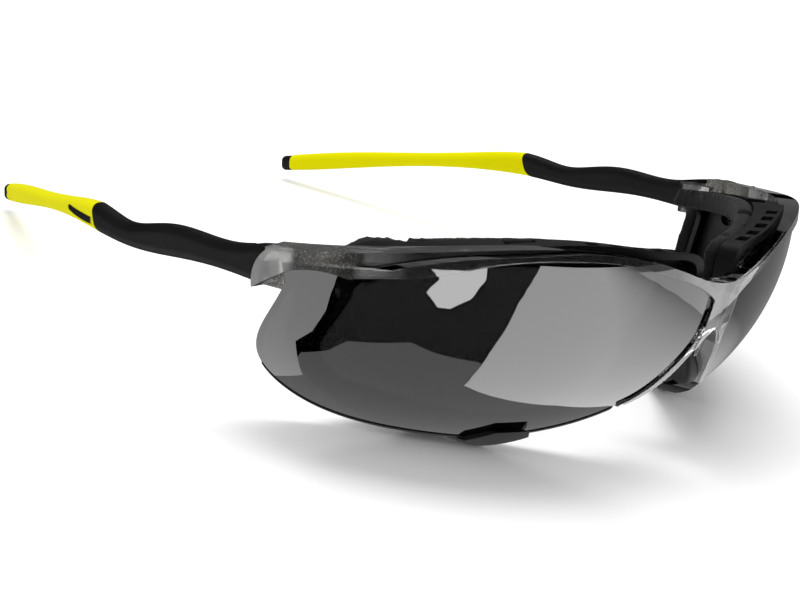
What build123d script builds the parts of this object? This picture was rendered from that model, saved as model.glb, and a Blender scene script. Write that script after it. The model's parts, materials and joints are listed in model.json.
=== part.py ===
from build123d import *
import os
from math import hypot, sqrt

# Wrap-around safety glasses with a clip-in foam gasket, as separate moulded pieces.
#
# Design axes, in millimetres: +X to the wearer's left, +Y back along the temples, +Z up, with the
# temple joint near Y = 0. The left half is modelled and mirrored. At the end every piece is
# tilted and moved so that the glasses stand on the lens clips and the temple tips, with the
# origin under the middle of their box.

# Lens surface: an arc of CROWN_RADIUS turned about a vertical axis, LENS_RADIUS in plan.
LENS_RADIUS = 71.6
CROWN_RADIUS = 48.0
CROWN_Z = 6.5
LENS_AXIS_Y = 18.0
LENS_THICKNESS = 2.2

# Front frame, as distances out from the lens surface.
BROW_PROUD = 0.8
UNDERCUT_PROUD = -0.6
BROW_BACK = -3.4
SLOT_PLAY = 0.1
BRIDGE_PROUD = 0.5
BRIDGE_BACK = -2.6

# Gasket and foam, which follow the face.
FACE_RADIUS = 50.0
FACE_CROWN_RADIUS = 60.0
FACE_AXIS_Y = 6.1
GASKET_WALL = 2.0
FOAM_WIDTH = 4.8
FOAM_DEPTH = 3.2
FLANGE_DEPTH = 1.3
PIECE_GAP = 0.06
VENT_TURNS = (9, 13, 17, 21, 25)
VENT_BACK = 5.2
RECESS_TURN = 36
RECESS_FLOOR = 5.6
TOOTH_TURN = 4
AIR_HOLE_RADIUS = 1.3

# Clips and lip under the lower edge of the lens.
LIP_HEIGHT = 0.7
CLIP_PROUD = 1.1
CLIP_INNER_RADIUS = 46.6

# Soft nose pads.
NOSE_PAD_CENTRE = (6.6, -38.6, -18.6)
NOSE_PAD_DEPTH = 10.0
NOSE_PAD_HEIGHT = 15.0
NOSE_PAD_THICKNESS = 3.6

# Left eye cup in X and Z, from the top of the nose down the nose and round.
GASKET_OUTLINE = [
    (5.0, 1.6),
    (4.8, -6.0),
    (6.2, -14.0),
    (9.0, -21.2),
    (13.4, -26.6),
    (21.0, -31.4),
    (31.0, -33.3),
    (40.0, -31.6),
    (49.0, -27.4),
    (57.4, -21.4),
    (61.6, -14.0),
    (62.0, -6.0),
    (60.4, 0.5),
    (54.4, 3.7),
    (46.0, 6.1),
    (36.0, 7.4),
    (25.0, 6.8),
    (13.0, 5.0),
]
EYE_CENTRE = (33.0, -12.5)

# Hinge: the frame's two ears hold the temple's knuckle between them.
PIVOT_X = 64.6
PIVOT_Y = 2.2
KNUCKLE_RADIUS = 2.3
KNUCKLE_LOW = -1.2
KNUCKLE_HIGH = 1.8
EAR_LOW = -3.0
EAR_HIGH = 3.7
HINGE_GAP = 0.2
BLOCK_INNER_X = PIVOT_X - KNUCKLE_RADIUS
BLOCK_OUTER_X = PIVOT_X + KNUCKLE_RADIUS
BLOCK_FRONT_Y = -4.9
BLOCK_BACK_Y = -0.6
SCREW_RADIUS = 0.75
SCREW_HEAD_RADIUS = 1.3
SCREW_HEAD_HEIGHT = 0.55
SCREW_SLOT = 0.35
RUNNING_CLEARANCE = 0.05

# Temple: arm, sleeve and tip cap share one long tapering form.
TEMPLE_JOINT_GAP = 0.3
SLEEVE_END_Y = 116.3
CORE_END_Y = 111.5
CORE_WIDTH = 2.0
CORE_HEIGHT_SHARE = 0.5
SPIGOT_RADIUS = 0.8
TONGUE_DEPTH = 1.3
TONGUE_END_Y = 66.0
TONGUE_HALF_HEIGHT = 0.75

# Pose on a table: the front leans back until the tips touch down.
TILT_DEGREES = -10.5

# Longer than anything on the glasses.
FAR = 90.0


# ---- Drawing helpers


def region(plane, *stretches):
    """Face bounded by stretches that run end to end: two points make a line, more a spline."""
    edges = []
    for points in stretches:
        edge = Line(*points) if len(points) == 2 else Spline(*points)
        edges.append(edge)
    return plane * make_face(edges)


def seen_from_front(*stretches):
    """Outline in X and Z, carried forward through the whole front of the glasses."""
    start = Plane.XZ.offset(-LENS_AXIS_Y)
    return extrude(region(start, *stretches), amount=FAR)


def seen_from_side(*stretches):
    """Outline in Y and Z, carried out to the wearer's left from the middle."""
    return extrude(region(Plane.YZ, *stretches), amount=FAR)


def turned_solid(plan_radius, crown_radius, axis_y, out):
    """Solid inside a double-curved front, moved out by the given distance."""
    arc_centre = plan_radius - crown_radius
    radius = crown_radius + out
    low = max(-40.0, CROWN_Z - 0.97 * radius)
    high = 25.0
    low_reach = arc_centre + sqrt(radius**2 - (low - CROWN_Z) ** 2)
    high_reach = arc_centre + sqrt(radius**2 - (high - CROWN_Z) ** 2)
    low_point = (low_reach, low)
    high_point = (high_reach, high)
    crown = (arc_centre + radius, CROWN_Z)
    outline = [
        ThreePointArc(low_point, crown, high_point),
        Line(high_point, (0, high)),
        Line((0, high), (0, low)),
        Line((0, low), low_point),
    ]
    turned = revolve(Plane.XZ * make_face(outline), Axis.Z, 360)
    return Pos(0, axis_y, 0) * Rot(0, 0, 90) * turned


def inside_lens_surface(out):
    """Everything inside the lens surface, moved out by the given distance."""
    return turned_solid(LENS_RADIUS, CROWN_RADIUS, LENS_AXIS_Y, out)


def layer(outer, inner):
    """Shell between two distances out from the lens surface."""
    return inside_lens_surface(outer) - inside_lens_surface(inner)


def upright_cylinder(x, y, radius, low, high):
    """Vertical cylinder between two heights."""
    return Pos(x, y, (low + high) / 2) * Cylinder(radius, high - low)


def block(low_corner, high_corner):
    """Box between two corners."""
    size = [high - low for low, high in zip(low_corner, high_corner)]
    centre = [(high + low) / 2 for low, high in zip(low_corner, high_corner)]
    return Pos(*centre) * Box(*size)


# ---- Outlines of the left half


def joint_line():
    """Curved line in Y and Z where the endpiece ends and the temple begins."""
    return [(-2.4, 4.2), (-0.5, 2.2), (0.7, -0.2), (1.3, -3.2)]


def in_front_of_joint(gap=0.0):
    """Everything forward of the temple joint, pulled back from it by a gap."""
    line = [(y - gap, z) for y, z in joint_line()]
    top = line[0]
    bottom = line[-1]
    return seen_from_side(
        [(-FAR, 20), (top[0], 20)],
        [(top[0], 20), top],
        line,
        [bottom, (bottom[0], -50)],
        [(bottom[0], -50), (-FAR, -50)],
        [(-FAR, -50), (-FAR, 20)],
    )


def lens_blank():
    """Left lens outline, as a solid to cut from a shell."""
    nasal = [(3.9, -5.0), (4.5, -12.5), (7.4, -18.8), (10.6, -23.4), (18.4, -28.9), (31.0, -32.8)]
    front = seen_from_front(
        [(3.9, -2.6), (3.9, -5.0)],
        nasal,
        [(31.0, -32.8), (75.0, -33.6)],
        [(75.0, -33.6), (75.0, 1.9)],
        [(75.0, 1.9), (58.5, 2.6)],
        [(58.5, 2.6), (49.0, 5.4), (40.0, 6.0), (32.0, 6.2), (20.4, 4.0), (9.2, 0.4), (3.9, -2.6)],
    )
    rear = [
        (-5.2, -1.4),
        (-3.6, -4.0),
        (1.2, -10.0),
        (5.4, -18.6),
        (2.2, -25.0),
        (-7.4, -30.2),
        (-19.0, -32.7),
    ]
    side = seen_from_side(
        [(-FAR, 10), (-5.2, 10)],
        [(-5.2, 10), (-5.2, -1.4)],
        rear,
        [(-19.0, -32.7), (-FAR, -34.0)],
        [(-FAR, -34.0), (-FAR, 10)],
    )
    return front & side


def brow_band():
    """Left half of the brow bar and bridge, above the lens, seen from the front."""
    top = [
        (0.0, -1.5),
        (5.0, -0.9),
        (11.4, 1.1),
        (22.7, 5.1),
        (32.5, 6.9),
        (44.5, 7.3),
        (57.9, 6.1),
        (66.0, 5.1),
        (75.0, 4.6),
    ]
    slot = [
        (75.0, -3.1),
        (67.0, -2.2),
        (63.4, 0.4),
        (57.5, 1.5),
        (48.2, 4.1),
        (36.0, 5.1),
        (26.6, 4.1),
        (14.4, 0.5),
        (9.2, -1.3),
        (3.7, -4.6),
    ]
    arch = [(3.7, -15.6), (2.0, -12.2), (0.0, -10.6)]
    return seen_from_front(
        top,
        [(75.0, 4.6), (75.0, -3.1)],
        slot,
        [(3.7, -4.6), (3.7, -15.6)],
        arch,
        [(0.0, -10.6), (0.0, -1.5)],
    )


def nose_leg():
    """Clear rim that runs from the bridge down the nasal edge of the left lens."""
    lens_side = [(3.7, -4.6), (4.3, -12.6), (7.2, -19.0), (10.5, -23.7), (13.6, -26.0)]
    nose_side = [(13.2, -26.4), (9.4, -24.4), (6.0, -20.4), (3.4, -15.2), (0.0, -10.6)]
    return seen_from_front(
        lens_side,
        [(13.6, -26.0), (13.2, -26.4)],
        nose_side,
        [(0.0, -10.6), (0.0, -4.6)],
        [(0.0, -4.6), (3.7, -4.6)],
    )


def nose_leg_room():
    """Space that the nose leg takes up, with a gap behind it."""
    return nose_leg() & layer(5, BRIDGE_BACK - PIECE_GAP)


def endpiece_panel():
    """Raised outer panel of the left endpiece, seen from the side."""
    return seen_from_side(
        joint_line(),
        [(1.3, -3.2), (-1.6, -1.6), (-6.2, 0.7), (-16.0, 2.4)],
        [(-16.0, 2.4), (-16.0, 5.6)],
        [(-16.0, 5.6), (-7.0, 5.1), (-4.0, 4.8), (-2.4, 4.2)],
    )


def eye_cup(inset):
    """Left eye cup outline moved in towards its centre, carried front to back."""
    centre_x, centre_z = EYE_CENTRE
    outline = []
    for x, z in GASKET_OUTLINE:
        share = 1 - inset / hypot(x - centre_x, z - centre_z)
        outline.append((centre_x + share * (x - centre_x), centre_z + share * (z - centre_z)))
    curve = Spline(*outline, periodic=True)
    return extrude(Plane.XZ.offset(-LENS_AXIS_Y) * make_face(curve), amount=FAR)


def ring(outset, inset):
    """Left eye cup wall between two distances in from its outline."""
    return eye_cup(outset) - eye_cup(inset)


def face_space(gap):
    """Space of the wearer's face, plus a gap in front of it."""
    front = turned_solid(FACE_RADIUS, FACE_CROWN_RADIUS, FACE_AXIS_Y, gap)
    temple_line = [
        (-7.6, 8.0),
        (-4.6, 2.0),
        (-1.6, -5.0),
        (0.4, -12.6),
        (0.4, -22.0),
        (-4.0, -29.5),
        (-14.0, -40.0),
    ]
    line = [(y - gap, z) for y, z in temple_line]
    temple_side = seen_from_side(
        [(FAR, 8.0), line[0]],
        line,
        [line[-1], (FAR, -40.0)],
        [(FAR, -40.0), (FAR, 8.0)],
    )
    return front + temple_side


# ---- Pieces of the left half


def make_lens():
    """Tinted lens, one even thickness."""
    return lens_blank() & layer(0, -LENS_THICKNESS)


def lens_slot():
    """Room for the lens's top edge in the brow bar."""
    above = Pos(0, 0, SLOT_PLAY) * lens_blank()
    return (lens_blank() + above) & layer(SLOT_PLAY, -LENS_THICKNESS - SLOT_PLAY)


def hinge_block():
    """Root of the ears, inside the endpiece, with the ears that hold the temple's knuckle."""
    ears = upright_cylinder(PIVOT_X, PIVOT_Y, KNUCKLE_RADIUS, EAR_LOW, EAR_HIGH)
    root = block((BLOCK_INNER_X, BLOCK_FRONT_Y, EAR_LOW), (BLOCK_OUTER_X, PIVOT_Y, EAR_HIGH))
    between_ears = block(
        (BLOCK_INNER_X - 1, BLOCK_BACK_Y, KNUCKLE_LOW - HINGE_GAP),
        (BLOCK_OUTER_X + 1, PIVOT_Y + 10, KNUCKLE_HIGH + HINGE_GAP),
    )
    return root + ears - between_ears


def make_half_frame():
    """Left half of the clear front: brow bar, bridge, nose leg, endpiece and hinge ears."""
    band = brow_band()
    forward = in_front_of_joint()
    undercut = band & layer(UNDERCUT_PROUD, BROW_BACK) & forward
    above_undercut = seen_from_side(
        [(-FAR, 20), (4, 20)],
        [(4, 20), (1.3, -3.2)],
        [(1.3, -3.2), (-1.6, -1.6), (-6.2, 0.7), (-16.0, 0.9), (-26.0, -12.0)],
        [(-26.0, -12.0), (-FAR, -20)],
        [(-FAR, -20), (-FAR, 20)],
    )
    brow = band & layer(BROW_PROUD, BROW_BACK) & above_undercut & forward
    panel = endpiece_panel() & layer(BROW_PROUD, BROW_BACK)
    leg = nose_leg() & layer(BRIDGE_PROUD, BRIDGE_BACK)
    frame = brow + undercut + panel + leg + hinge_block() - lens_slot()
    low = KNUCKLE_LOW - HINGE_GAP
    high = KNUCKLE_HIGH + HINGE_GAP
    frame -= upright_cylinder(PIVOT_X, PIVOT_Y, KNUCKLE_RADIUS + HINGE_GAP, low, high)
    bore = SCREW_RADIUS + 0.01
    frame -= upright_cylinder(PIVOT_X, PIVOT_Y, bore, EAR_LOW - 1, EAR_HIGH + 1)
    sink = EAR_HIGH - SCREW_HEAD_HEIGHT
    frame -= upright_cylinder(PIVOT_X, PIVOT_Y, SCREW_HEAD_RADIUS + 0.1, sink, EAR_HIGH + 1)
    return frame


def make_screw():
    """Slotted hinge screw, its head let into the upper ear."""
    head_low = EAR_HIGH - SCREW_HEAD_HEIGHT
    shank = upright_cylinder(PIVOT_X, PIVOT_Y, SCREW_RADIUS, EAR_LOW, head_low)
    head = upright_cylinder(PIVOT_X, PIVOT_Y, SCREW_HEAD_RADIUS, head_low, EAR_HIGH)
    head = chamfer(head.edges().group_by(Axis.Z)[-1], 0.15)
    half = SCREW_SLOT / 2
    slot = block(
        (PIVOT_X - half, PIVOT_Y - 3, EAR_HIGH - 0.3),
        (PIVOT_X + half, PIVOT_Y + 3, EAR_HIGH + 1),
    )
    return shank + head - slot


def round_the_lens(turn, cut):
    """Cut that is drawn at the middle of the lens surface, turned outward along it."""
    return Pos(0, LENS_AXIS_Y, 0) * Rot(0, 0, turn) * cut


def gasket_vents():
    """Air notches along the front of the eye cup's top wall, and a larger recess beyond them."""
    notch = block((-1.3, -LENS_RADIUS + 3.0, -1), (1.3, -LENS_RADIUS + VENT_BACK, 15))
    notches = [round_the_lens(turn, notch) for turn in VENT_TURNS]
    recess = block((-2.8, -LENS_RADIUS + 6.0, RECESS_FLOOR), (2.8, -LENS_RADIUS + 12.0, 15))
    return notches + [round_the_lens(RECESS_TURN, recess)]


def gasket_teeth():
    """Air gaps between the teeth that stand against the back of the left lens."""
    gap = block((-1.1, -LENS_RADIUS - 2, -45), (1.1, -LENS_RADIUS + 3.6, 3))
    return [round_the_lens(turn, gap) for turn in range(12, 64, TOOTH_TURN)]


def make_gasket():
    """Left eye cup of the gasket: a wall behind the lens and a flange under the foam."""
    room = face_space(FOAM_DEPTH + PIECE_GAP)
    inside_lens = inside_lens_surface(-LENS_THICKNESS - PIECE_GAP)
    wall = (ring(0, GASKET_WALL) & inside_lens) - room
    flange = (ring(0, FOAM_WIDTH) & inside_lens & face_space(FOAM_DEPTH + FLANGE_DEPTH)) - room
    cup = wall + flange
    brow_room = brow_band() & layer(5, BROW_BACK - PIECE_GAP)
    cup = cup - brow_room - nose_leg_room()
    for cut in gasket_vents() + gasket_teeth():
        cup -= cut
    hole = Pos(60, -12.0, -2.4) * Rot(0, 90, 0) * Cylinder(AIR_HOLE_RADIUS, 12)
    return cup - hole


def make_foam():
    """Left foam seal, one ring with notches along its top."""
    foam = ring(0.3, FOAM_WIDTH + 0.2) & face_space(FOAM_DEPTH) & inside_lens_surface(-3.4)
    foam -= face_space(0)
    for x in (46.5, 27.0, 11.8):
        foam -= block((x - 0.7, -45, -1.5), (x + 0.7, 10, 12)) & eye_cup(-1) - eye_cup(1.6)
    return foam


def lens_lip():
    """Thin lip along the lower edge of the left lens."""
    lowered = Pos(0, 0, -LIP_HEIGHT) * lens_blank()
    along_edge = block((14.0, -FAR, -FAR), (63.0, FAR, -17.0))
    return (lowered - lens_blank()) & layer(0.15, -LENS_THICKNESS) & along_edge


def make_clip():
    """Left clip that holds the gasket on the lower edge of the lens, with its thin lip."""
    outline = seen_from_front(
        [(27.6, -30.7), (32.8, -30.9)],
        [(32.8, -30.9), (35.0, -33.4)],
        [(35.0, -33.4), (32.8, -34.8), (30.4, -35.4), (28.2, -34.8), (25.8, -32.6)],
        [(25.8, -32.6), (27.6, -30.7)],
    )
    body = outline & inside_lens_surface(CLIP_PROUD)
    body -= upright_cylinder(0, LENS_AXIS_Y, CLIP_INNER_RADIUS, -FAR, 0)
    held = eye_cup(-PIECE_GAP) & inside_lens_surface(-LENS_THICKNESS)
    lens = lens_blank() & layer(PIECE_GAP, -LENS_THICKNESS)
    return body + lens_lip() - held - lens


def make_nose_pad():
    """Left soft nose pad, against the nasal wall of the gasket."""
    pad = extrude(Ellipse(NOSE_PAD_DEPTH / 2, NOSE_PAD_HEIGHT / 2), amount=NOSE_PAD_THICKNESS)
    pad = fillet(pad.edges(), NOSE_PAD_THICKNESS * 0.42)
    pad = Rot(0, 90, 0) * Rot(0, 0, 90) * Pos(0, 0, -NOSE_PAD_THICKNESS / 2) * pad
    pad = Pos(*NOSE_PAD_CENTRE) * Rot(0, -20, 0) * Rot(0, 0, -14) * pad
    return pad - eye_cup(-PIECE_GAP) - nose_leg_room()


# ---- Temple


def temple_sections():
    """Distance back, outer face X, top Z, bottom Z and thickness, front to tip."""
    return [
        (-5.0, 68.4, 4.2, -3.1, 4.0),
        (6.0, 68.5, 3.7, -2.5, 4.0),
        (13.0, 68.8, 3.4, -2.0, 4.0),
        (25.0, 69.2, 4.1, -2.1, 4.1),
        (33.0, 69.0, 3.2, -2.5, 4.1),
        (41.0, 68.7, 2.3, -2.4, 4.1),
        (53.0, 67.4, 4.2, -1.4, 4.2),
        (65.0, 64.2, 3.2, -1.2, 4.2),
        (93.5, 55.1, 0.2, -3.7, 3.9),
        (116.0, 46.4, -2.6, -6.8, 3.5),
        (120.6, 44.6, -3.3, -7.2, 3.0),
    ]


def temple_form(width_share=1.0, height_share=1.0, count=None, start=0):
    """Long tapering form of the temple, or a slimmer one on the same centre line."""
    rows = temple_sections()[start:count]
    faces = []
    for index, (y, outer, top, bottom, thick) in enumerate(rows):
        before = rows[max(index - 1, 0)]
        after = rows[min(index + 1, len(rows) - 1)]
        run = Vector(after[1] - before[1], after[0] - before[0], 0)
        width = thick * width_share
        height = (top - bottom) * height_share
        centre = (outer - thick / 2, y, (top + bottom) / 2)
        plane = Plane(origin=centre, x_dir=(run.Y, -run.X, 0), z_dir=run)
        corner = 0.42 * min(width, height)
        faces.append(plane * RectangleRounded(width, height, corner))
    return loft(faces)


def rounded_temple():
    """Temple form with a blunt, rounded tip."""
    form = temple_form()
    tip = form.faces().sort_by(Axis.Y)[-1]
    return fillet(tip.edges(), 1.2)


def sleeve_zone():
    """Stretch of the temple that the sleeve covers, seen from the side."""
    return seen_from_side(
        [(53.6, 8.0), (52.8, 4.2), (51.9, 0.6), (50.0, -2.4), (48.4, -6.0)],
        [(48.4, -6.0), (SLEEVE_END_Y - 1.0, -14.0)],
        [(SLEEVE_END_Y - 1.0, -14.0), (SLEEVE_END_Y + 1.0, -4.8), (SLEEVE_END_Y - 1.0, 3.0)],
        [(SLEEVE_END_Y - 1.0, 3.0), (53.6, 8.0)],
    )


def tongue():
    """Narrow tongue of the arm that shows along the sleeve's outer face."""
    high = 1.15 + TONGUE_HALF_HEIGHT
    low = 1.15 - TONGUE_HALF_HEIGHT
    side = seen_from_side(
        [(50.0, high - 0.5), (58.0, high - 0.4), (TONGUE_END_Y - 1, high)],
        [(TONGUE_END_Y - 1, high), (TONGUE_END_Y, 1.3), (TONGUE_END_Y - 1, low + 0.3)],
        [(TONGUE_END_Y - 1, low + 0.3), (58.0, low - 0.4), (50.0, low - 0.4)],
        [(50.0, low - 0.4), (50.0, high - 0.5)],
    )
    return side


def outer_skin():
    """Outermost layer of the temple, as deep as the tongue."""
    return rounded_temple() - Pos(-TONGUE_DEPTH, 0, 0) * rounded_temple()


def hinge_room():
    """Space that the frame's ears and block need in the front of the temple."""
    room = upright_cylinder(PIVOT_X, PIVOT_Y, KNUCKLE_RADIUS + HINGE_GAP, -10, 10)
    room += block((50, -20, -10), (BLOCK_OUTER_X + HINGE_GAP, PIVOT_Y, 10))
    return room - block((40, -20, KNUCKLE_LOW), (80, 40, KNUCKLE_HIGH))


def make_core():
    """Slim core of the arm, which the sleeve is moulded over."""
    core = temple_form(CORE_WIDTH / 4.2, CORE_HEIGHT_SHARE, count=10, start=5)
    return core & block((0, 45, -30), (FAR, CORE_END_Y, 30))


def make_shown_tongue():
    """Part of the arm that shows through the sleeve's outer face."""
    return outer_skin() & tongue() & sleeve_zone()


def make_spigot():
    """Peg of the tip cap, held in the end of the sleeve."""
    return Pos(45.4, SLEEVE_END_Y - 1.5, -4.75) * Rot(90, 0, 22) * Cylinder(SPIGOT_RADIUS, 5.6)


def make_arm():
    """Rigid temple arm: hinge knuckle, waved arm, core and tongue."""
    front = rounded_temple() - sleeve_zone() - in_front_of_joint(-TEMPLE_JOINT_GAP)
    front -= block((0, SLEEVE_END_Y - 6, -30), (FAR, 200, 30))
    front -= hinge_room()
    knuckle = upright_cylinder(PIVOT_X, PIVOT_Y, KNUCKLE_RADIUS, KNUCKLE_LOW, KNUCKLE_HIGH)
    bore = upright_cylinder(PIVOT_X, PIVOT_Y, SCREW_RADIUS + RUNNING_CLEARANCE, -10, 10)
    return front + make_core() + make_shown_tongue() + knuckle - bore


def make_sleeve():
    """Soft sleeve moulded over the arm's core."""
    sleeve = temple_form(start=5) & sleeve_zone()
    return sleeve - make_core() - make_shown_tongue() - make_spigot()


def make_cap():
    """Hard cap on the end of the temple."""
    end = rounded_temple() - sleeve_zone()
    end &= block((0, SLEEVE_END_Y - 6, -30), (FAR, 200, 30))
    return end + make_spigot()


# ---- Assembly


def build_parts():
    """Every piece by name, in design axes."""
    half_frame = make_half_frame()
    left_pieces = {
        "lens": make_lens(),
        "gasket": make_gasket(),
        "foam_seal": make_foam(),
        "lens_clip": make_clip(),
        "nose_pad": make_nose_pad(),
        "hinge_screw": make_screw(),
        "temple_arm": make_arm(),
        "temple_sleeve": make_sleeve(),
        "tip_cap": make_cap(),
    }
    parts = {"front_frame": half_frame + mirror(half_frame, about=Plane.YZ)}
    for name, piece in left_pieces.items():
        parts[name + "_left"] = piece
        parts[name + "_right"] = mirror(piece, about=Plane.YZ)
    return parts


def main():
    """Stand the glasses on the table and write one file per piece."""
    tilt = Rot(TILT_DEGREES, 0, 0)
    parts = {name: tilt * piece for name, piece in build_parts().items()}
    boxes = [piece.bounding_box() for piece in parts.values()]
    low_y = min(box.min.Y for box in boxes)
    high_y = max(box.max.Y for box in boxes)
    low_z = min(box.min.Z for box in boxes)
    stand = Pos(0, -(low_y + high_y) / 2, -low_z)
    print("moved by", stand.position)
    os.makedirs("parts", exist_ok=True)
    for name, piece in parts.items():
        export_step(stand * piece, f"parts/{name}.step")


main()
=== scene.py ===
import json
from math import cos, radians, sin

import bmesh
import bpy
from mathutils import Matrix, Vector, noise


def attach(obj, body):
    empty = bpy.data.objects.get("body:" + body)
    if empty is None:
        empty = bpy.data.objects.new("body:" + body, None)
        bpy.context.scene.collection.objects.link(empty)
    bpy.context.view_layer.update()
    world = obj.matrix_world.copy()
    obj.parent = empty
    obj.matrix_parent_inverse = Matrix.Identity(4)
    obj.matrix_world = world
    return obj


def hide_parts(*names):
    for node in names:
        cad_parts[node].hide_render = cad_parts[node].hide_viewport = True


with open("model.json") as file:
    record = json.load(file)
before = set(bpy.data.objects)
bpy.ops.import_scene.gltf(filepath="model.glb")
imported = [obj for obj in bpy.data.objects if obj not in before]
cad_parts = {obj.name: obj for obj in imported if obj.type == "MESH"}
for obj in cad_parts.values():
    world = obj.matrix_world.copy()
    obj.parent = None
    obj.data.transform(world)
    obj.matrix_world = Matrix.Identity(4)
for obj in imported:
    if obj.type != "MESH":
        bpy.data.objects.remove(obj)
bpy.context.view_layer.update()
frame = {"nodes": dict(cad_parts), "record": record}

# Wrap-around safety glasses: the looks of every piece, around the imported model.
# Lengths are in metres. DESIGN axes are the part's own, in millimetres, before it was tilted to stand on a table.

NODES = frame["nodes"]

# The tilt and move that stand the design on the table.
TILT = radians(-10.5)
STAND = Vector((0.0, -0.0324111, 0.0317127))

# Camera, in the design axes.
CAMERA_AT = (-264.102, -226.971, 64.419)
CAMERA_LOOK = (0.69774, 0.68093, -0.22248)
CAMERA_UP = (0.13309, 0.18195, 0.97426)
CAMERA_LENS = 77.04
CAMERA_SHIFT = (-0.0046, -0.0056)


def turned(x, y, z):
    """A direction in the design axes, in the row frame."""
    return Vector((x, cos(TILT) * y - sin(TILT) * z, sin(TILT) * y + cos(TILT) * z))


def placed(x, y, z):
    """A point in the design axes, in millimetres, in the row frame in metres."""
    return turned(x, y, z) / 1000 + STAND


# ---- Camera


def make_camera():
    """Camera at the height and angle from which the glasses are seen."""
    data = bpy.data.cameras.new("camera")
    data.sensor_width = 36.0
    data.lens = CAMERA_LENS
    data.shift_x, data.shift_y = CAMERA_SHIFT
    data.clip_start = 0.01
    data.clip_end = 100.0
    camera = bpy.data.objects.new("camera", data)
    bpy.context.scene.collection.objects.link(camera)
    look = turned(*CAMERA_LOOK).normalized()
    right = look.cross(turned(*CAMERA_UP)).normalized()
    up = right.cross(look)
    turn = Matrix((right, up, -look)).transposed().to_4x4()
    camera.matrix_world = Matrix.Translation(placed(*CAMERA_AT)) @ turn
    bpy.context.scene.camera = camera


make_camera()


# ---- Materials


class Shader:
    """A node material that is built up from its Principled shader."""

    def __init__(self, name, **values):
        self.material = bpy.data.materials.new(name)
        self.material.use_nodes = True
        self.nodes = self.material.node_tree.nodes
        self.links = self.material.node_tree.links
        self.shader = self.nodes["Principled BSDF"]
        for key, value in values.items():
            self.shader.inputs[key.replace("_", " ")].default_value = value
        self.place = self.nodes.new("ShaderNodeTexCoord").outputs["Object"]
        self.relief = None

    def noise(self, scale, detail=3.0, roughness=0.5, stretch=None):
        """Grey noise over the surface, in the row frame; stretch squeezes it along an axis."""
        node = self.nodes.new("ShaderNodeTexNoise")
        node.inputs["Scale"].default_value = scale
        node.inputs["Detail"].default_value = detail
        node.inputs["Roughness"].default_value = roughness
        place = self.place
        if stretch:
            mapping = self.nodes.new("ShaderNodeMapping")
            mapping.inputs["Scale"].default_value = stretch
            self.links.new(place, mapping.inputs["Vector"])
            place = mapping.outputs["Vector"]
        self.links.new(place, node.inputs["Vector"])
        return node.outputs["Fac"]

    def cells(self, scale, feature="F1"):
        """Distance to the nearest cell centre, for pores."""
        node = self.nodes.new("ShaderNodeTexVoronoi")
        node.feature = feature
        node.inputs["Scale"].default_value = scale
        self.links.new(self.place, node.inputs["Vector"])
        return node.outputs["Distance"]

    def spread(self, source, low, high, to_low, to_high):
        """Source values from low to high, carried to the range from to_low to to_high."""
        node = self.nodes.new("ShaderNodeMapRange")
        for key, value in zip(
            ("From Min", "From Max", "To Min", "To Max"), (low, high, to_low, to_high)
        ):
            node.inputs[key].default_value = value
        self.links.new(source, node.inputs["Value"])
        return node.outputs["Result"]

    def times(self, first, second):
        """Product of two grey values."""
        node = self.nodes.new("ShaderNodeMath")
        node.operation = "MULTIPLY"
        self.links.new(first, node.inputs[0])
        self.links.new(second, node.inputs[1])
        return node.outputs[0]

    def along(self, axis):
        """Coordinate of the surface along X, Y or Z, in metres."""
        node = self.nodes.new("ShaderNodeSeparateXYZ")
        self.links.new(self.place, node.inputs[0])
        return node.outputs[axis]

    def size(self, source):
        """Distance from zero of a grey value."""
        node = self.nodes.new("ShaderNodeMath")
        node.operation = "ABSOLUTE"
        self.links.new(source, node.inputs[0])
        return node.outputs[0]

    def blend(self, source, low, high):
        """Colour from low to high with a grey value; low is a colour or another blend."""
        node = self.nodes.new("ShaderNodeMix")
        node.data_type = "RGBA"
        self.links.new(source, node.inputs["Factor"])
        if isinstance(low, tuple):
            node.inputs[6].default_value = (*low, 1)
        else:
            self.links.new(low, node.inputs[6])
        node.inputs[7].default_value = (*high, 1)
        return node.outputs[2]

    def colour(self, source, low, high):
        """The surface's own colour, blended from low to high with a grey value."""
        self.links.new(self.blend(source, low, high), self.shader.inputs["Base Color"])

    def rounded(self, radius):
        """Softly broken edges of the given radius."""
        node = self.nodes.new("ShaderNodeBevel")
        node.samples = 4
        node.inputs["Radius"].default_value = radius
        self.relief = node.outputs["Normal"]
        self.links.new(self.relief, self.shader.inputs["Normal"])

    def bump(self, source, distance, strength=1.0):
        """Relief from a grey value, as deep as the given distance."""
        node = self.nodes.new("ShaderNodeBump")
        node.inputs["Strength"].default_value = strength
        node.inputs["Distance"].default_value = distance
        self.links.new(source, node.inputs["Height"])
        if self.relief:
            self.links.new(self.relief, node.inputs["Normal"])
        self.relief = node.outputs["Normal"]
        self.links.new(self.relief, self.shader.inputs["Normal"])

    def rough(self, source):
        """Roughness from a grey value."""
        self.links.new(source, self.shader.inputs["Roughness"])

    def coat(self, source):
        """Strength of the gloss coat from a grey value."""
        self.links.new(source, self.shader.inputs["Coat Weight"])


LENS_TINT = (0.012, 0.012, 0.0122, 1)
FRAME_TINT = (0.55, 0.55, 0.545, 1)
# Darker tint for the middle of the brow: painted shade, standing in for the black gasket seen through the clear
# brow.
FRAME_BROW_PAINTED_SHADE = (0.10, 0.10, 0.10)
FRAME_SPECKLE = (0.02, 0.018, 0.014)


def lens_material():
    """Grey polycarbonate with a hard, bright coating."""
    made = Shader(
        "lens_grey",
        Base_Color=LENS_TINT,
        Transmission_Weight=1.0,
        Roughness=0.0,
        IOR=1.58,
        Coat_Weight=1.0,
        Coat_IOR=2.0,
        Coat_Roughness=0.01,
    )
    ripple = made.noise(35.0, detail=1.0)
    made.bump(ripple, 0.00002)
    return made.material


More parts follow.
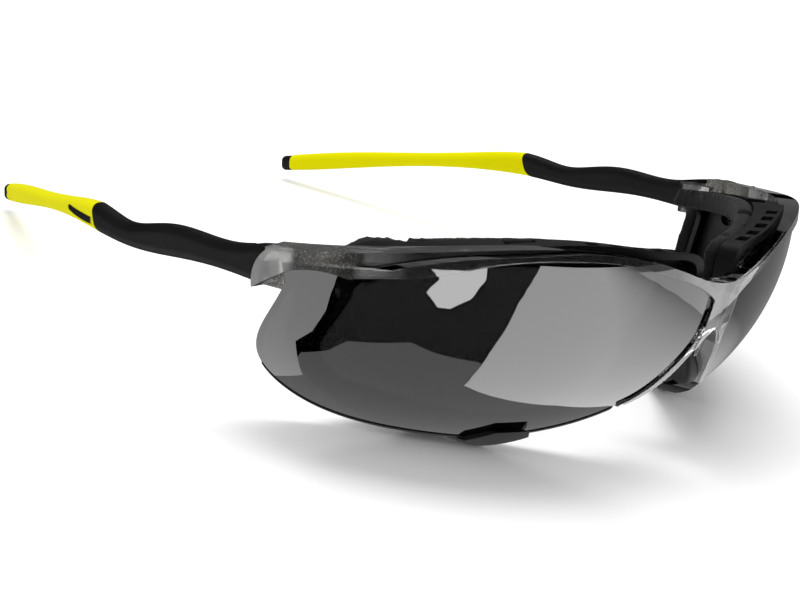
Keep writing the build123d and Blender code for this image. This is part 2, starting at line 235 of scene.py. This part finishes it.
def frame_material():
    """Smoke-clear polycarbonate, polished, with a fine sparkling grain in the endpieces; the middle of the brow
    gets a darker tint that is painted shade, for the black gasket seen through it.
    """
    made = Shader(
        "frame_smoke",
        Base_Color=FRAME_TINT,
        Transmission_Weight=1.0,
        IOR=1.58,
        Coat_IOR=2.0,
        Coat_Roughness=0.02,
    )
    made.rounded(0.0002)
    reach = made.size(made.along("X"))
    endpiece = made.spread(reach, 0.0620, 0.0626, 0.0, 1.0)
    grained = made.spread(reach, 0.0674, 0.0680, 1.0, 0.0)
    zone = made.times(endpiece, grained)
    grain = made.noise(2400.0, detail=5.0, roughness=0.8)
    # Mask for the middle of the brow, where the darker tint is painted shade for the gasket behind it.
    brow_shade_mask = made.times(
        made.spread(reach, 0.010, 0.015, 0.0, 1.0), made.spread(reach, 0.057, 0.061, 1.0, 0.0)
    )
    speckle = made.times(zone, made.spread(grain, 0.53, 0.65, 1.0, 0.0))
    made.colour(speckle, made.blend(brow_shade_mask, FRAME_TINT[:3], FRAME_BROW_PAINTED_SHADE), FRAME_SPECKLE)
    made.bump(made.times(grain, zone), 0.00014, 0.8)
    made.rough(made.spread(endpiece, 0.0, 1.0, 0.02, 0.30))
    made.coat(made.spread(zone, 0.0, 1.0, 1.0, 0.15))
    return made.material


def gasket_material():
    """Black moulded elastomer with a satin skin."""
    made = Shader("gasket_satin", Specular_IOR_Level=0.3)
    made.colour(made.noise(180.0, detail=4.0), (0.004, 0.004, 0.0045), (0.009, 0.009, 0.0095))
    made.rounded(0.0002)
    made.bump(made.noise(3200.0, detail=2.0), 0.00003)
    made.rough(made.spread(made.noise(140.0), 0.3, 0.7, 0.34, 0.48))
    return made.material


def foam_material():
    """Black foam with open pores on its skin."""
    made = Shader("foam_pores", Roughness=0.95, Specular_IOR_Level=0.1, Sheen_Weight=0.08)
    pores = made.spread(made.cells(2300.0), 0.1, 0.6, 0.0, 1.0)
    made.colour(pores, (0.002, 0.002, 0.002), (0.007, 0.007, 0.0072))
    made.bump(pores, 0.00010, 0.7)
    return made.material


def pad_material():
    """Soft black rubber of the nose pads."""
    made = Shader("pad_soft", Specular_IOR_Level=0.4)
    made.colour(made.noise(260.0, detail=4.0), (0.005, 0.005, 0.005), (0.010, 0.010, 0.0105))
    made.bump(made.noise(4200.0, detail=2.0), 0.00002)
    made.rough(made.spread(made.noise(200.0), 0.3, 0.7, 0.42, 0.58))
    return made.material


def arm_material():
    """Black nylon of the temples with a fine moulded grain."""
    made = Shader("arm_grain", Specular_IOR_Level=0.16)
    made.colour(made.noise(120.0, detail=5.0), (0.005, 0.005, 0.0055), (0.010, 0.010, 0.0105))
    made.rounded(0.00025)
    made.bump(made.noise(3800.0, detail=3.0, roughness=0.6), 0.00005)
    made.rough(made.spread(made.noise(90.0, detail=4.0), 0.3, 0.7, 0.42, 0.56))
    return made.material


def sleeve_material():
    """Bright yellow soft-touch elastomer, rubbed a little smoother in places."""
    made = Shader(
        "sleeve_soft",
        Specular_IOR_Level=0.03,
    )
    made.colour(made.noise(70.0, detail=5.0), (0.58, 0.55, 0.0), (0.65, 0.615, 0.0))
    made.rounded(0.00025)
    made.bump(made.noise(4600.0, detail=2.0), 0.00003)
    made.rough(made.spread(made.noise(55.0, detail=4.0), 0.3, 0.7, 0.5, 0.66))
    return made.material


def screw_material():
    """Turned stainless steel."""
    made = Shader("screw_turned", Metallic=1.0)
    made.colour(made.noise(900.0), (0.45, 0.45, 0.46), (0.62, 0.62, 0.63))
    made.bump(made.noise(2600.0, stretch=(1, 1, 0.1)), 0.00002)
    made.rough(made.spread(made.noise(1500.0), 0.3, 0.7, 0.22, 0.38))
    return made.material


LOOKS = {
    "smoke_lens": lens_material(),
    "smoke_frame": frame_material(),
    "gasket_black": gasket_material(),
    "foam_black": foam_material(),
    "pad_rubber": pad_material(),
    "arm_black": arm_material(),
    "sleeve_yellow": sleeve_material(),
    "screw_steel": screw_material(),
}


def dress_nodes():
    """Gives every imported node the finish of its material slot."""
    for entry in frame["record"]["subparts"]:
        node = NODES[entry["node"]]
        for place in node.material_slots:
            place.material = LOOKS[entry["material_slot"]]


dress_nodes()


# ---- Foam seals

FOAM_VOXEL = 0.00055
FOAM_SMOOTHING = 9
FOAM_PORE = 0.00005


def apply_modifiers(piece):
    """Replaces the mesh by its shape with every modifier applied."""
    graph = bpy.context.evaluated_depsgraph_get()
    mesh = bpy.data.meshes.new_from_object(piece.evaluated_get(graph))
    piece.modifiers.clear()
    piece.data = mesh


def make_foam(side):
    """Soft seal of one eye cup: its cut edges rounded over and its skin uneven with pores."""
    node = NODES[f"foam_seal_{side}"]
    foam = bpy.data.objects.new(f"soft_seal_{side}", node.data.copy())
    bpy.context.scene.collection.objects.link(foam)
    remesh = foam.modifiers.new("even", "REMESH")
    remesh.mode = "VOXEL"
    remesh.voxel_size = FOAM_VOXEL
    smooth = foam.modifiers.new("crown", "SMOOTH")
    smooth.factor = 0.5
    smooth.iterations = FOAM_SMOOTHING
    apply_modifiers(foam)
    mesh = foam.data
    for vertex in mesh.vertices:
        push = noise.noise(vertex.co * 900) + 0.6 * noise.noise(vertex.co * 2100)
        vertex.co += vertex.normal * (FOAM_PORE * push)
    mesh.materials.clear()
    mesh.materials.append(LOOKS["foam_black"])
    for face in mesh.polygons:
        face.use_smooth = True
    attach(foam, "front")
    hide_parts(f"foam_seal_{side}")


for side in ("left", "right"):
    make_foam(side)


# ---- Floor, light and reflector cards


def plain_material(name, colour, roughness):
    """Material of something that isn't part of the object."""
    made = Shader(name, Base_Color=(*colour, 1), Roughness=roughness, Specular_IOR_Level=0.1)
    return made.material


def make_floor():
    """Wide pale floor that the glasses stand on, left out of the gloss on the lenses."""
    mesh = bpy.data.meshes.new("floor")
    reach = 12.0
    corners = [(-reach, -reach, 0), (reach, -reach, 0), (reach, reach, 0), (-reach, reach, 0)]
    mesh.from_pydata(corners, [], [(0, 1, 2, 3)])
    mesh.materials.append(plain_material("floor_pale", (0.93, 0.93, 0.93), 0.9))
    floor = bpy.data.objects.new("floor", mesh)
    bpy.context.scene.collection.objects.link(floor)
    floor.visible_glossy = False


# Outline of the small bright window in the gloss of the lens, in centimetres at its own depth.
BLOB_OUTLINE = [
    (-83, -72),
    (-80, -122),
    (-50, -78),
    (-32, -45),
    (-29, -34),
    (-31, -32),
    (-43, -38),
    (-58, -56),
]


def make_world():
    """Even soft light from all round, also left out of the gloss."""
    world = bpy.data.worlds.new("studio")
    world.use_nodes = True
    background = world.node_tree.nodes["Background"]
    background.inputs["Color"].default_value = (1, 1, 1, 1)
    background.inputs["Strength"].default_value = 0.80
    world.cycles_visibility.glossy = False
    bpy.context.scene.world = world
    bpy.context.scene.view_settings.view_transform = "Standard"


def make_light(name, at, towards, width, height, power):
    """Rectangular soft light, without a mirror image of its own in the gloss."""
    data = bpy.data.lights.new(name, "AREA")
    data.shape = "RECTANGLE"
    data.size = width
    data.size_y = height
    data.energy = power
    light = bpy.data.objects.new(name, data)
    bpy.context.scene.collection.objects.link(light)
    light.location = at
    light.visible_glossy = False
    light.rotation_mode = "QUATERNION"
    light.rotation_quaternion = (Vector(towards) - Vector(at)).to_track_quat("-Z", "Y")


def make_card(name, corners, strength, fade=None):
    """Bright card that is seen only in the gloss of the object; fade is (from x, to x, end strength)."""
    mesh = bpy.data.meshes.new(name)
    mesh.from_pydata(corners, [], [tuple(range(len(corners)))])
    material = bpy.data.materials.new(name)
    material.use_nodes = True
    nodes = material.node_tree.nodes
    nodes.clear()
    glow = nodes.new("ShaderNodeEmission")
    glow.inputs["Strength"].default_value = strength
    if fade:
        start, end, least = fade
        place = nodes.new("ShaderNodeTexCoord")
        split = nodes.new("ShaderNodeSeparateXYZ")
        ramp = nodes.new("ShaderNodeMapRange")
        for key, value in zip(
            ("From Min", "From Max", "To Min", "To Max"), (start, end, strength, least)
        ):
            ramp.inputs[key].default_value = value
        material.node_tree.links.new(place.outputs["Object"], split.inputs[0])
        material.node_tree.links.new(split.outputs["X"], ramp.inputs["Value"])
        material.node_tree.links.new(ramp.outputs["Result"], glow.inputs["Strength"])
    out = nodes.new("ShaderNodeOutputMaterial")
    material.node_tree.links.new(glow.outputs[0], out.inputs["Surface"])
    material.cycles.emission_sampling = "NONE"
    mesh.materials.append(material)
    card = bpy.data.objects.new(name, mesh)
    bpy.context.scene.collection.objects.link(card)
    card.visible_camera = False
    card.visible_diffuse = False
    card.visible_transmission = False
    card.visible_shadow = False


make_floor()
make_world()
make_light("overhead", (0.1, 0.1, 1.6), (0, 0, 0), 1.2, 0.5, 14)
make_light("behind", (0.5, 1.4, 0.7), (0, 0, 0), 0.8, 0.3, 6)
make_light("left_side", (-1.5, 0.5, 0.7), (0, 0, 0), 0.6, 0.4, 5)
CARD_Z = -0.25
make_card(
    "front_card",
    [
        (-0.79, -2.54, CARD_Z),
        (-0.26, -0.68, CARD_Z),
        (-0.12, -0.29, CARD_Z),
        (-0.06, -0.16, CARD_Z),
        (0.10, -0.14, CARD_Z),
        (0.27, -0.08, CARD_Z),
        (0.42, 0.35, CARD_Z),
        (2.4, 1.90, CARD_Z),
        (2.4, -2.54, CARD_Z),
    ],
    1.75,
    fade=(0.12, 0.60, 0.22),
)
make_card(
    "side_card",
    [
        (-2.0, -0.55, CARD_Z),
        (-0.59, -0.14, CARD_Z),
        (-0.39, -0.08, CARD_Z),
        (-0.28, -0.03, CARD_Z),
        (-0.23, 0.01, CARD_Z),
        (-0.17, 0.02, CARD_Z),
        (-0.12, 0.03, CARD_Z),
        (-0.08, 0.10, CARD_Z),
        (-0.08, 0.50, CARD_Z),
        (-2.0, 0.80, CARD_Z),
    ],
    1.0,
)
NEAR_Z = -0.26
make_card(
    "near_card",
    [
        (-0.13, 0.05, NEAR_Z),
        (-0.20, 0.01, NEAR_Z),
        (-0.22, -0.04, NEAR_Z),
        (-0.26, -0.09, NEAR_Z),
        (-0.24, -0.21, NEAR_Z),
        (-0.18, -0.22, NEAR_Z),
        (-0.11, -0.25, NEAR_Z),
        (0.20, -0.20, NEAR_Z),
        (0.30, 0.10, NEAR_Z),
        (-0.05, 0.20, NEAR_Z),
    ],
    0.36,
)
BLOB_Z = -0.18
make_card(
    "window_card",
    [(x / 100, y / 100, BLOB_Z) for x, y in BLOB_OUTLINE],
    2.9,
)
BRIDGE_Z = -0.24
make_card(
    "bridge_card",
    [(0.46, -1.7, BRIDGE_Z), (0.46, -0.36, BRIDGE_Z), (1.8, -0.45, BRIDGE_Z), (1.8, -1.7, BRIDGE_Z)],
    1.2,
)
make_card(
    "right_card",
    [(1.0, -0.2, 0.03), (1.0, 2.0, 0.03), (1.0, 2.0, 0.8), (1.0, -0.2, 0.8)],
    0.12,
)
make_card(
    "top_card",
    [(0.2, 0.2, 1.2), (0.9, 0.2, 1.2), (0.9, 0.9, 1.2), (0.2, 0.9, 1.2)],
    3.0,
)


# ---- Corners of boxes


def corners(box):
    """Lowest and highest corner as plain numbers."""
    return [[round(value, 6) for value in corner] for corner in box]
